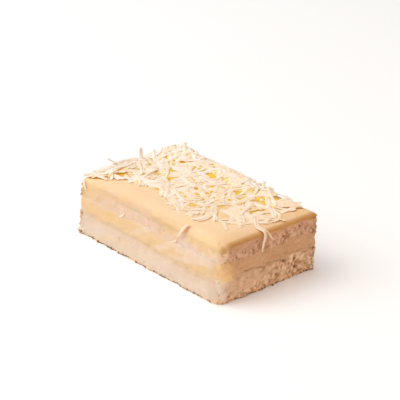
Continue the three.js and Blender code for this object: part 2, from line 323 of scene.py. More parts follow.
# Small round holes, some here and some there, with their depth
def makePoreGroup():
    tree, start, end = newGroup(
        "crumbPores",
        [("Vector", "NodeSocketVector", None), ("Scale", "NodeSocketFloat", 500.0),
         ("Spread", "NodeSocketFloat", 0.5)],
        [("Pores", "NodeSocketFloat"), ("Height", "NodeSocketFloat")],
    )
    cells = addNode(tree, "ShaderNodeTexVoronoi", {"Vector": start["Vector"], "Scale": start["Scale"]})
    where = addNode(tree, "ShaderNodeTexNoise", {"Vector": start["Vector"], "Scale": 130.0, "Detail": 1.0})
    hole = ranged(tree, cells.outputs["Distance"], 0.12, 0.42, 1.0, 0.0)
    room = addNode(tree, "ShaderNodeMapRange", {"Value": where.outputs["Fac"], "From Min": start["Spread"],
                                                "From Max": calculate(tree, "ADD", start["Spread"], 0.15)})
    pores = calculate(tree, "MULTIPLY", hole, room.outputs["Result"])
    tree.links.new(pores, end["Pores"])
    tree.links.new(calculate(tree, "SUBTRACT", 1.0, pores), end["Height"])
    return tree


# Which side of the block a place is on: the smeared near face, the cut right-hand end, and its height; the masks of the
# end and along the top carry painted shade, and the corner's a painted highlight
def makeSideGroup():
    tree, start, end = newGroup(
        "blockSides",
        [("Vector", "NodeSocketVector", None)],
        [("Near", "NodeSocketFloat"), ("Right", "NodeSocketFloat"), ("LitCorner", "NodeSocketFloat"),
         ("Edge", "NodeSocketFloat"), ("Along", "NodeSocketFloat"), ("Height", "NodeSocketFloat")],
    )
    place = addNode(tree, "ShaderNodeSeparateXYZ", {"Vector": start["Vector"]}).outputs
    right = ranged(tree, place["X"], blockHigh.x - 4 * mm, blockHigh.x - 1.5 * mm)
    roundX = calculate(tree, "MAXIMUM", calculate(tree, "SUBTRACT", place["X"], blockHigh.x - 10 * mm), 0.0)
    roundY = calculate(tree, "SUBTRACT", place["Y"], blockLow.y + 10 * mm)
    around = calculate(tree, "ARCTAN2", roundY, roundX)
    turned = ranged(tree, around, math.radians(-65), math.radians(-15), 1.0, 0.8)
    drift = addNode(tree, "ShaderNodeTexNoise", {"Vector": start["Vector"], "Scale": 110.0, "Detail": 2.0})
    drift = calculate(tree, "SUBTRACT", drift.outputs["Fac"], 0.5)
    ragged = calculate(tree, "ADD", around, calculate(tree, "MULTIPLY", drift, math.radians(110)))
    corner = calculate(tree, "MULTIPLY", ranged(tree, ragged, math.radians(-76), math.radians(-44)),
                       ranged(tree, ragged, math.radians(-32), math.radians(12), 1.0, 0.0))
    tree.links.new(corner, end["LitCorner"])
    near = ranged(tree, place["Y"], blockLow.y + 3 * mm, blockLow.y + 12 * mm, 1.0, 0.0)
    tree.links.new(calculate(tree, "MULTIPLY", near, turned), end["Near"])
    tree.links.new(right, end["Right"])
    tree.links.new(ranged(tree, place["X"], blockHigh.x - 8 * mm, blockHigh.x - 1 * mm), end["Edge"])
    tree.links.new(ranged(tree, place["X"], 58 * mm, blockHigh.x), end["Along"])
    tree.links.new(place["Z"], end["Height"])
    return tree


# The near face is wiped over with custard, so that its layers run into one another
smear = {
    # height and colour, from the pale lower sponge up to the icing that ran down; the band at 19.5 mm is a painted
    # shadow under the filling's bulge, and the top one painted shade on the icing's rounded edge
    "bands": (
        (3 * mm, (0.77, 0.625, 0.495, 1)), (11 * mm, (0.79, 0.62, 0.49, 1)), (16.5 * mm, (0.78, 0.60, 0.455, 1)),
        (19.5 * mm, (0.745, 0.535, 0.35, 1)), (23 * mm, (0.80, 0.555, 0.305, 1)), (31 * mm, (0.83, 0.575, 0.315, 1)),
        (36 * mm, (0.82, 0.585, 0.415, 1)), (42 * mm, (0.81, 0.57, 0.40, 1)), (45 * mm, (0.79, 0.53, 0.32, 1)),
        (49 * mm, (0.735, 0.485, 0.28, 1)),
    ),
    "broadWander": 13 * mm, "fineWander": 5 * mm,
    # wiped in streaks that rise to the right, some of pale crumb and some of custard
    "streakRise": math.radians(22), "streakScale": 105.0, "streakLength": 0.28,
    "pale": (0.85, 0.65, 0.52, 1), "paleShare": 0.65, "peach": (0.83, 0.56, 0.29, 1), "peachShare": 0.8,
    "dab": (0.80, 0.54, 0.22, 1), "dabShare": 0.55, "dabScale": 42.0,
    # yellow icing that ran down at its corners: from where to where along it, with its share at each, and
    # from which height up
    "run": (0.86, 0.59, 0.32, 1),
    "runs": ((-78 * mm, -40 * mm, 1.0, 0.0, 41 * mm, 47 * mm), (38 * mm, 50 * mm, 0.0, 1.0, 37 * mm, 43 * mm)),
    # and a drip round the right-hand corner, painted darker as shade where it turns onto the end
    "dripAndShade": (0.60, 0.37, 0.09, 1), "dripShare": 0.85, "dripNear": -52 * mm, "dripFar": -45 * mm,
    "dripLow": 38 * mm, "dripHigh": 44 * mm,
}


def makeSmearGroup():
    tree, start, end = newGroup("smearedFace", [("Vector", "NodeSocketVector", None)], [("Colour", "NodeSocketColor")])
    place = addNode(tree, "ShaderNodeSeparateXYZ", {"Vector": start["Vector"]}).outputs
    height = place["Z"]
    for scale, detail, wander in ((24.0, 1.0, smear["broadWander"]), (85.0, 2.0, smear["fineWander"])):
        drift = addNode(tree, "ShaderNodeTexNoise", {"Vector": start["Vector"], "Scale": scale, "Detail": detail})
        drift = calculate(tree, "SUBTRACT", drift.outputs["Fac"], 0.5)
        height = calculate(tree, "ADD", height, calculate(tree, "MULTIPLY", drift, wander))
    colour = smear["bands"][0][1]
    for (low, lowColour), (high, highColour) in zip(smear["bands"], smear["bands"][1:]):
        colour = mixColours(tree, ranged(tree, height, low, high), colour, highColour)
    cosine, sine = math.cos(smear["streakRise"]), math.sin(smear["streakRise"])
    along = calculate(tree, "ADD", calculate(tree, "MULTIPLY", place["X"], cosine),
                      calculate(tree, "MULTIPLY", place["Z"], sine))
    across = calculate(tree, "SUBTRACT", calculate(tree, "MULTIPLY", place["Z"], cosine),
                       calculate(tree, "MULTIPLY", place["X"], sine))
    wiped = addNode(tree, "ShaderNodeCombineXYZ", {"X": calculate(tree, "MULTIPLY", along, smear["streakLength"]),
                                                   "Y": place["Y"], "Z": across})
    streaks = addNode(tree, "ShaderNodeTexNoise", {"Vector": wiped.outputs["Vector"], "Scale": smear["streakScale"],
                                                   "Detail": 2.0}).outputs["Fac"]
    upper = ranged(tree, height, 18 * mm, 26 * mm, 0.25, 1.0)
    for low, high, toLow, toHigh, tint in ((0.53, 0.66, 0.0, smear["paleShare"], smear["pale"]),
                                           (0.34, 0.47, smear["peachShare"], 0.0, smear["peach"])):
        streak = calculate(tree, "MULTIPLY", ranged(tree, streaks, low, high, toLow, toHigh), upper)
        colour = mixColours(tree, streak, colour, tint)
    flat = addNode(tree, "ShaderNodeCombineXYZ", {"X": calculate(tree, "MULTIPLY", along, 0.55), "Y": across})
    spots = addNode(tree, "ShaderNodeTexVoronoi", {"Vector": flat.outputs["Vector"], "Scale": smear["dabScale"]},
                    voronoi_dimensions="2D")
    dab = calculate(tree, "MULTIPLY", ranged(tree, spots.outputs["Distance"], 0.03, 0.15, smear["dabShare"], 0.0), upper)
    colour = mixColours(tree, dab, colour, smear["dab"])
    for lowX, highX, atLow, atHigh, lowZ, highZ in smear["runs"]:
        beside = ranged(tree, place["X"], lowX, highX, atLow, atHigh)
        run = calculate(tree, "MULTIPLY", ranged(tree, height, lowZ, highZ), beside)
        colour = mixColours(tree, run, colour, smear["run"])
    # the drip, painted darker as shade where it turns onto the right-hand end
    middle = (smear["dripNear"] + smear["dripFar"]) / 2
    dripAndShade = ranged(tree, place["Z"], smear["dripLow"], smear["dripHigh"], 0.0, smear["dripShare"])
    for limits in ((place["X"], blockHigh.x - 6 * mm, blockHigh.x - 3 * mm, 0.0, 1.0),
                   (place["Y"], smear["dripNear"], middle, 0.0, 1.0),
                   (place["Y"], middle, smear["dripFar"], 1.0, 0.0)):
        dripAndShade = calculate(tree, "MULTIPLY", dripAndShade, ranged(tree, *limits))
    tree.links.new(mixColours(tree, dripAndShade, colour, smear["dripAndShade"]), end["Colour"])
    return tree


toneGroup = makeToneGroup()
poreGroup = makePoreGroup()
sideGroup = makeSideGroup()
smearGroup = makeSmearGroup()
print("shader groups ready")


# Chiffon sponge
sponge = {
    "levels": 3,
    "nearFace": 0.16,       # how rough the smeared near face is, beside the torn ends
    "patchSize": 9 * mm, "patchLow": 0.12,      # torn open in patches, and pressed smoother between them
    "cragSize": 8.0 * mm, "cragDepth": 3.2 * mm,
    "lumpSize": 3.5 * mm, "lumpDepth": 2.2 * mm,
    "knobSize": 4.2 * mm, "knobDepth": 0.9 * mm, "knobWidth": 0.5,
    "pitSize": 6.0 * mm, "pitDepth": 3.0 * mm, "pitWidth": 0.24,
    "holeSize": 3.2 * mm, "holeDepth": 1.3 * mm, "holeWidth": 0.28,
    "footSize": 5.0 * mm, "footDepth": 3.0 * mm,    # the ragged browned edge at the base
    "cragShade": 0.45,      # how much the crags count in the crumb's light and dark, beside the finer relief
    "rimSize": 6.0 * mm, "rimDepth": 5.0 * mm,      # the torn edge where sponge meets custard
    "cornerSize": 2.2 * mm, "cornerDepth": 4.5 * mm, "cornerReach": 5 * mm,     # the knobbly upright corners
    "riseSpan": 3.0 * mm,   # from the bottom of the deepest hole to the top of the highest lump
    # crust: the browned base together with a painted contact shadow where the cake meets the floor
    # hole: browned crumb together with painted shade inside the holes and deep pits
    "hole": (0.30, 0.12, 0.04, 1), "crustAndContactShade": (0.19, 0.085, 0.03, 1),
    # toast: golden above the crust, partly browning and partly painted warm bounce light
    "toastAndBounceLight": (1.0, 0.63, 0.35, 1), "toastAndBounceShare": 0.6, "toastAndBounceHigh": 3.6 * mm,     # golden above the crust
    "icingStain": (0.70, 0.39, 0.15, 1), "fillingStain": (0.70, 0.43, 0.245, 1), "stainShare": 0.7,
    # and a painted highlight, paler, on the rounded near right-hand corner
    # the darker cut colour of each sponge is painted shade, for crumb that lies low in hollows
    "lower": {"cut": (1.0, 0.725, 0.50, 1), "cutShaded": (0.53, 0.30, 0.165, 1), "corner": (1.0, 0.85, 0.70, 1)},
    "upper": {"cut": (0.83, 0.53, 0.365, 1), "cutShaded": (0.52, 0.285, 0.165, 1), "corner": (1.0, 0.72, 0.51, 1)},
    "litCornerShare": 0.75,
    # the cut is smooth by the near corner, torn towards the far one and along the base
    "tornNear": -44 * mm, "tornFar": 22 * mm, "tornLeast": 0.12, "baseHigh": 9 * mm, "baseTorn": 0.55,
    "seamHigh": 37 * mm, "seamLow": 32 * mm,    # a row of pits where the upper sponge lies on the filling
    "shader": {"Roughness": 0.9, "Specular IOR Level": 0.2, "Subsurface Weight": 0.3,
               "Subsurface Radius": (1.0, 0.5, 0.25), "Subsurface Scale": 2.5 * mm},
}


def makeSpongeMaterial(name, colours, stains, browned):
    # stains: where custard has soaked in, as the height it starts at, the height where it is full, its colour
    material, tree, shader, place = newMaterial(name, sponge["shader"])
    side = useGroup(tree, sideGroup, {"Vector": place})
    smeared = useGroup(tree, smearGroup, {"Vector": place})["Colour"]
    tone = useGroup(tree, toneGroup, {"Vector": place, "Patch Scale": 55.0, "Grain Scale": 650.0})
    pores = useGroup(tree, poreGroup, {"Vector": place, "Scale": 480.0, "Spread": 0.5})
    bubbles = useGroup(tree, poreGroup, {"Vector": place, "Scale": 150.0, "Spread": 0.58})
    rise = addNode(tree, "ShaderNodeAttribute", attribute_name="rise").outputs["Fac"]

    # painted shade: crumb that lies low in the hollows of its relief takes the darker cut colour
    standing = ranged(tree, rise, 0.36, 0.62)
    colour = mixColours(tree, standing, colours["cutShaded"], colours["cut"])
    wander = calculate(tree, "MULTIPLY", calculate(tree, "SUBTRACT", tone["Patches"], 0.5), 3 * mm)
    stainHeight = calculate(tree, "ADD", side["Height"], wander)
    for startHeight, fullHeight, stainColour in stains:
        if fullHeight > startHeight:
            stain = ranged(tree, stainHeight, startHeight, fullHeight, 0.0, sponge["stainShare"])
        else:
            stain = ranged(tree, stainHeight, fullHeight, startHeight, sponge["stainShare"], 0.0)
        colour = mixColours(tree, stain, colour, stainColour)
    colour = mixColours(tree, side["Near"], colour, smeared)
    # painted highlight on the rounded near right-hand corner
    paintedHighlight = calculate(tree, "MULTIPLY", side["LitCorner"], sponge["litCornerShare"])
    colour = mixColours(tree, paintedHighlight, colour, colours["corner"])
    # browned crumb and painted shade: holes and deep pits take the hole colour, less on the near face
    shadedHoles = calculate(tree, "MAXIMUM", calculate(tree, "MULTIPLY", pores["Pores"], 0.25),
                      ranged(tree, rise, 0.1, 0.35, 1.0, 0.0))
    clear = calculate(tree, "SUBTRACT", 0.75, calculate(tree, "MULTIPLY", side["Near"], 0.5))
    colour = mixColours(tree, calculate(tree, "MULTIPLY", shadedHoles, clear), colour, sponge["hole"])
    few = calculate(tree, "MULTIPLY", bubbles["Pores"], calculate(tree, "MULTIPLY", side["Near"], 0.5))
    colour = mixColours(tree, few, colour, sponge["hole"])
    if browned:
        # golden band above the base: partly browning, partly painted warm bounce light
        toastAndBounceLight = ranged(tree, stainHeight, 0.3 * mm, sponge["toastAndBounceHigh"], sponge["toastAndBounceShare"], 0.0)
        colour = mixColours(tree, toastAndBounceLight, colour, sponge["toastAndBounceLight"])
        # browned crust and a painted contact shadow, darkest right at the base
        ragged = calculate(tree, "MULTIPLY", calculate(tree, "SUBTRACT", 0.5, tone["Patches"]), 1.6 * mm)
        ragged = calculate(tree, "ADD", ragged, calculate(tree, "MULTIPLY", tone["Grain"], 0.6 * mm))
        crustAndContactShade = ranged(tree, calculate(tree, "ADD", side["Height"], ragged), 0.4 * mm, 1.1 * mm, 0.95, 0.0)
        colour = mixColours(tree, crustAndContactShade, colour, sponge["crustAndContactShade"])
    tree.links.new(colour, shader.inputs["Base Color"])

    relief = calculate(tree, "ADD", tone["Grain"], calculate(tree, "MULTIPLY", pores["Height"], 0.6))
    rough = calculate(tree, "SUBTRACT", 0.6, calculate(tree, "MULTIPLY", side["Near"], 0.4))
    bump = addNode(tree, "ShaderNodeBump", {"Height": calculate(tree, "MULTIPLY", relief, rough),
                                            "Strength": 1.0, "Distance": 0.45 * mm})
    tree.links.new(bump.outputs["Normal"], shader.inputs["Normal"])
    return material


def crumbWeight(co):
    if co.xy.length < mm:
        return 0
    if co.y < blockLow.y + 4 * mm:
        return sponge["nearFace"]
    torn = smoothStep(-0.3, 0.25, noise.noise(co / sponge["patchSize"]))
    torn *= sponge["tornLeast"] + (1 - sponge["tornLeast"]) * smoothStep(sponge["tornNear"], sponge["tornFar"], co.y)
    if co.z < sponge["baseHigh"] and co.y > sponge["tornNear"]:
        torn = max(torn, sponge["baseTorn"])
    if sponge["seamLow"] < co.z < sponge["seamHigh"]:
        torn = max(torn, 0.9)
    underIcing = smoothStep(icingTop - 8 * mm, icingTop - 4 * mm, co.z)
    return float((sponge["patchLow"] + (1 - sponge["patchLow"]) * torn) * (1 - 0.7 * underIcing))


def cornerWeight(co):
    reach = sponge["cornerReach"]
    if abs(co.x) < blockHigh.x - reach or abs(co.y) < blockHigh.y - reach:
        return 0
    return 0.3 if co.x > 0 > co.y else 1


def makeSponge(nodeName, pieceName, material):
    piece = copyOfNode(nodeName, pieceName)
    weigh(piece, "crumb", crumbWeight)
    weigh(piece, "corner", cornerWeight)
    rims = set(capOf(piece, True)["rim"] + capOf(piece, False)["rim"])
    floorRim = {v.index for v in piece.data.vertices if v.co.z < mm}
    weighIndices(piece, "rim", rims - floorRim)
    weighIndices(piece, "floorRim", floorRim)
    creaseRims(piece)
    subdivideSmooth(piece, sponge["levels"])
    roughen(piece, "CLOUDS", sponge["rimSize"], sponge["rimDepth"], "rim", 0.5, None, "Z")
    roughen(piece, "CLOUDS", sponge["cornerSize"], sponge["cornerDepth"], "corner", 0.45)
    roughen(piece, "CLOUDS", sponge["footSize"], sponge["footDepth"], "floorRim")
    smooth = points(piece)
    outward = np.empty(smooth.size, dtype=np.float32)
    piece.data.vertex_normals.foreach_get("vector", outward)
    roughen(piece, "CLOUDS", sponge["cragSize"], sponge["cragDepth"], "crumb")
    craggy = points(piece)
    roughen(piece, "CLOUDS", sponge["lumpSize"], sponge["lumpDepth"], "crumb")
    roughen(piece, "VORONOI", sponge["knobSize"], -sponge["knobDepth"], "crumb", 1, sponge["knobWidth"])
    roughen(piece, "VORONOI", sponge["pitSize"], sponge["pitDepth"], "crumb", 1, sponge["pitWidth"])
    roughen(piece, "VORONOI", sponge["holeSize"], sponge["holeDepth"], "crumb", 1, sponge["holeWidth"])
    torn = points(piece)
    # the rise, how far the relief stands out, sets the painted shade in the crumb's hollows
    shade = torn - craggy + sponge["cragShade"] * (craggy - smooth)
    rise = np.sum(shade * outward.reshape(-1, 3), axis=1)
    torn[:, 2] = np.maximum(torn[:, 2], 0)  # the base stays flat
    setPoints(piece, torn)
    paint(piece, "rise", np.clip(0.5 + rise / sponge["riseSpan"], 0, 1))
    finishPiece(piece, material, nodeName)
    return piece


lowerStains = ((17 * mm, 21.5 * mm, sponge["fillingStain"]),)
upperStains = ((43 * mm, 47 * mm, sponge["icingStain"]), (35.5 * mm, 32 * mm, sponge["fillingStain"]))
makeSponge("lower_sponge", "lowerSponge", makeSpongeMaterial("lowerSpongeCrumb", sponge["lower"], lowerStains, True))
makeSponge("upper_sponge", "upperSponge", makeSpongeMaterial("upperSpongeCrumb", sponge["upper"], upperStains, False))


# Yema custard, between the layers and over the top
custard = {
    "fillingLevels": 3, "icingLevels": 2,
    "overlap": 1.8 * mm, "dive": 0.9 * mm,  # how far the filling runs on behind the sponge's torn edge
    "nearProud": 0.45 * mm,     # and stands out where it was wiped over the near face
    "bulgeSize": 11 * mm, "bulgeDepth": 1.5 * mm,
    "rippleSize": 4 * mm, "rippleDepth": 0.4 * mm,
    "tornSize": 3.2 * mm, "tornDepth": 2.4 * mm,    # the cut ends are dragged and crumbed
    "pitSize": 7.5 * mm, "pitDepth": 1.3 * mm, "pitWidth": 0.16,
    # the filling stands out by the near right-hand corner, a little round it on the end
    "ooze": 1.3 * mm, "oozeReach": 7 * mm, "oozeAside": 9 * mm,
    "topRings": (0.86, 0.84, 0.8, 0.7, 0.4),  # each ring of the flat top, beside the one outside it
    "waveSize": 26 * mm, "waveDepth": 0.9 * mm,
    "footSize": 9 * mm, "footDepth": 3.0 * mm,
    # the icing's edge is wiped down the near face and rounded off over the end: how far each of its rings
    # is moved out and up there, from its foot to its flat top
    "nearRings": ((-0.3, -6.0), (-0.45, -0.6), (-0.5, -0.7), (-0.3, -0.9), (-0.9, -0.3)),
    "endRings": ((0.2, -1.4), (0.4, -1.2), (0.2, -1.1), (-0.8, -0.9), (-3.0, -0.3)),
    "sideReach": 6 * mm,
    # right and its darker variant are painted shade: the custard deeper on the shaded right-hand end, and for the icing
    # over its rounded lip
    "filling": {"light": (0.87, 0.62, 0.40, 1), "dark": (0.86, 0.58, 0.33, 1),
                "right": (0.72, 0.445, 0.255, 1), "rightShadeDark": (0.66, 0.39, 0.205, 1),
                # corner: a painted highlight on the rounded near right-hand corner
                "oozed": (0.84, 0.54, 0.22, 1), "corner": (1.0, 0.69, 0.36, 1)},
    "icing": {"light": (0.98, 0.69, 0.44, 1), "dark": (0.97, 0.67, 0.39, 1),
              "right": (0.61, 0.31, 0.105, 1), "rightShadeDark": (0.56, 0.28, 0.085, 1),
              # shaded: painted shade and yellow glow where the icing lies under the cheese
              "shaded": (0.84, 0.54, 0.12, 1)},     # where it glows through the cheese
    "shader": {"Specular IOR Level": 0.3, "Subsurface Weight": 0.35,
               "Subsurface Radius": (1.0, 0.55, 0.2), "Subsurface Scale": 3.0 * mm},
}


def makeCustardMaterial(name, colours, rough, deepen):
    # deepen: whether the painted shade turns the colour deeper only on the right-hand end, or along the top towards it
    # as well
    material, tree, shader, place = newMaterial(name, custard["shader"])
    side = useGroup(tree, sideGroup, {"Vector": place})
    tone = useGroup(tree, toneGroup, {"Vector": place, "Patch Scale": 45.0, "Grain Scale": 260.0})
    pores = useGroup(tree, poreGroup, {"Vector": place, "Scale": 330.0, "Spread": 0.6})
    colour = mixColours(tree, tone["Patches"], colours["light"], colours["dark"])
    smeared = useGroup(tree, smearGroup, {"Vector": place})["Colour"]
    # painted shade: the custard's colour on the right-hand end
    shadedEndColour = mixColours(tree, tone["Patches"], colours["right"], colours["rightShadeDark"])
    nearShare, shadedEndShare = side["Near"], side["Right"]
    if deepen:
        onSide = ranged(tree, side["Height"], icingTop - 2.5 * mm, icingTop - 0.2 * mm, 1.0, 0.0)
        nearShare = calculate(tree, "MULTIPLY", nearShare, onSide)
        # for the icing the painted shade deepens over its rounded right-hand edge, and a little along the top towards
        # it
        shadedEndShare = calculate(tree, "MAXIMUM", side["Edge"], calculate(tree, "MULTIPLY", side["Along"], 0.3))
    colour = mixColours(tree, shadedEndShare, colour, shadedEndColour)
    colour = mixColours(tree, nearShare, colour, smeared)
    if not deepen:
        oozed = addNode(tree, "ShaderNodeAttribute", attribute_name="oozed").outputs["Fac"]
        colour = mixColours(tree, oozed, colour, colours["oozed"])
        # painted highlight on the rounded near right-hand corner
        paintedHighlight = calculate(tree, "MULTIPLY", side["LitCorner"], sponge["litCornerShare"])
        colour = mixColours(tree, paintedHighlight, colour, colours["corner"])
    if deepen:
        # painted shade and yellow glow where the icing lies under the cheese
        under = addNode(tree, "ShaderNodeAttribute", attribute_name="under").outputs["Fac"]
        colour = mixColours(tree, under, colour, colours["shaded"])
    tree.links.new(colour, shader.inputs["Base Color"])
    gloss = ranged(tree, tone["Grain"], 0.0, 1.0, rough - 0.06, rough + 0.06)
    tree.links.new(gloss, shader.inputs["Roughness"])
    relief = calculate(tree, "ADD", calculate(tree, "MULTIPLY", tone["Grain"], 0.35), pores["Height"])
    bump = addNode(tree, "ShaderNodeBump", {"Height": relief, "Strength": 0.5, "Distance": 0.4 * mm})
    tree.links.new(bump.outputs["Normal"], shader.inputs["Normal"])
    return material


def makeFilling():
    piece = copyOfNode("yema_filling", "yemaFilling")
    selectOnly(piece, vertices=[v.index for v in piece.data.vertices if v.co.y < blockLow.y + 4 * mm])
    editMode(piece)
    bpy.ops.transform.translate(value=(0, -custard["nearProud"], 0))
    objectMode()
    growCap(piece, True, custard["overlap"], custard["dive"])
    growCap(piece, False, -custard["overlap"], custard["dive"])
    corner = Vector((blockHigh.x, blockLow.y + custard["oozeAside"]))
    weigh(piece, "side", lambda co: 0 if co.xy.length < mm else 1)
    weigh(piece, "torn", lambda co: 0 if co.xy.length < mm or co.y < blockLow.y + 4 * mm else 1)
    weigh(piece, "ooze", lambda co: math.exp(-((co.xy - corner).length / custard["oozeReach"]) ** 2))
    creaseRims(piece)
    subdivideSmooth(piece, custard["fillingLevels"])
    roughen(piece, "CLOUDS", custard["bulgeSize"], custard["bulgeDepth"], "side", 0.42)
    roughen(piece, "CLOUDS", custard["rippleSize"], custard["rippleDepth"], "side")
    roughen(piece, "CLOUDS", custard["tornSize"], custard["tornDepth"], "torn")
    roughen(piece, "VORONOI", custard["pitSize"], custard["pitDepth"], "side", 1, custard["pitWidth"])
    roughen(piece, "CLOUDS", 1.0, 2 * custard["ooze"], "ooze", 0)
    away = np.hypot(points(piece)[:, 0] - corner.x, points(piece)[:, 1] - corner.y)
    paint(piece, "oozed", 0.55 * np.exp(-(away / custard["oozeReach"]) ** 2))
    material = makeCustardMaterial("yemaFillingCustard", custard["filling"], 0.6, False)
    finishPiece(piece, material, "yema_filling")


def ringsUp(piece, ring, count):
    # the rings of points that follow one another up from a rim
    neighbours = {}
    for edge in piece.data.edges:
        for one, other in (edge.vertices, reversed(edge.vertices)):
            neighbours.setdefault(one, set()).add(other)
    seen = set(ring) | {v.index for v in piece.data.vertices if v.co.xy.length < mm}
    rings = [set(ring)]
    while len(rings) < count:
        rings.append({other for one in rings[-1] for other in neighbours[one]} - seen)
        seen |= rings[-1]
    return rings


def makeIcing():
    piece = copyOfNode("yema_icing", "yemaIcing")
    foot = capOf(piece, False)["rim"]
    mesh = piece.data
    nearY = blockLow.y + custard["sideReach"]
    endX = blockHigh.x - custard["sideReach"]
    rings = ringsUp(piece, foot, len(custard["endRings"]))
    for ring, (nearOut, nearUp), (endOut, endUp) in zip(rings, custard["nearRings"], custard["endRings"]):
        near = [index for index in ring if mesh.vertices[index].co.y < nearY]
        end = [index for index in ring if mesh.vertices[index].co.x > endX]
        for chosen, shift in ((near, (0, -nearOut, nearUp)), (end, (endOut, 0, endUp))):
            selectOnly(piece, vertices=chosen)
            editMode(piece)
            bpy.ops.transform.translate(value=Vector(shift) * mm)
            objectMode()
    footTop = max(mesh.vertices[index].co.z for index in foot) + 0.1 * mm
    weigh(piece, "foot", lambda co: 1 if co.y < nearY and co.z < footTop else 0)
    selectOnly(piece, faces=capOf(piece, True)["faces"])
    editMode(piece, "FACE")
    bpy.ops.mesh.dissolve_faces()
    for scale in custard["topRings"]:
        bpy.ops.mesh.extrude_region()
        bpy.ops.transform.resize(value=(scale, scale, 1), center_override=(0, 0, icingTop))
    objectMode()
    flat = icingTop - 1 * mm
    subdivideSmooth(piece, custard["icingLevels"])
    weigh(piece, "top", lambda co: 1 if co.z > flat else 0)
    roughen(piece, "CLOUDS", custard["footSize"], custard["footDepth"], "foot", 0.5, None, "Z")
    roughen(piece, "CLOUDS", custard["waveSize"], custard["waveDepth"], "top", 0.55, None, "Z")
    material = makeCustardMaterial("yemaIcingSatin", custard["icing"], 0.5, True)
    finishPiece(piece, material, "yema_icing")


makeFilling()
makeIcing()


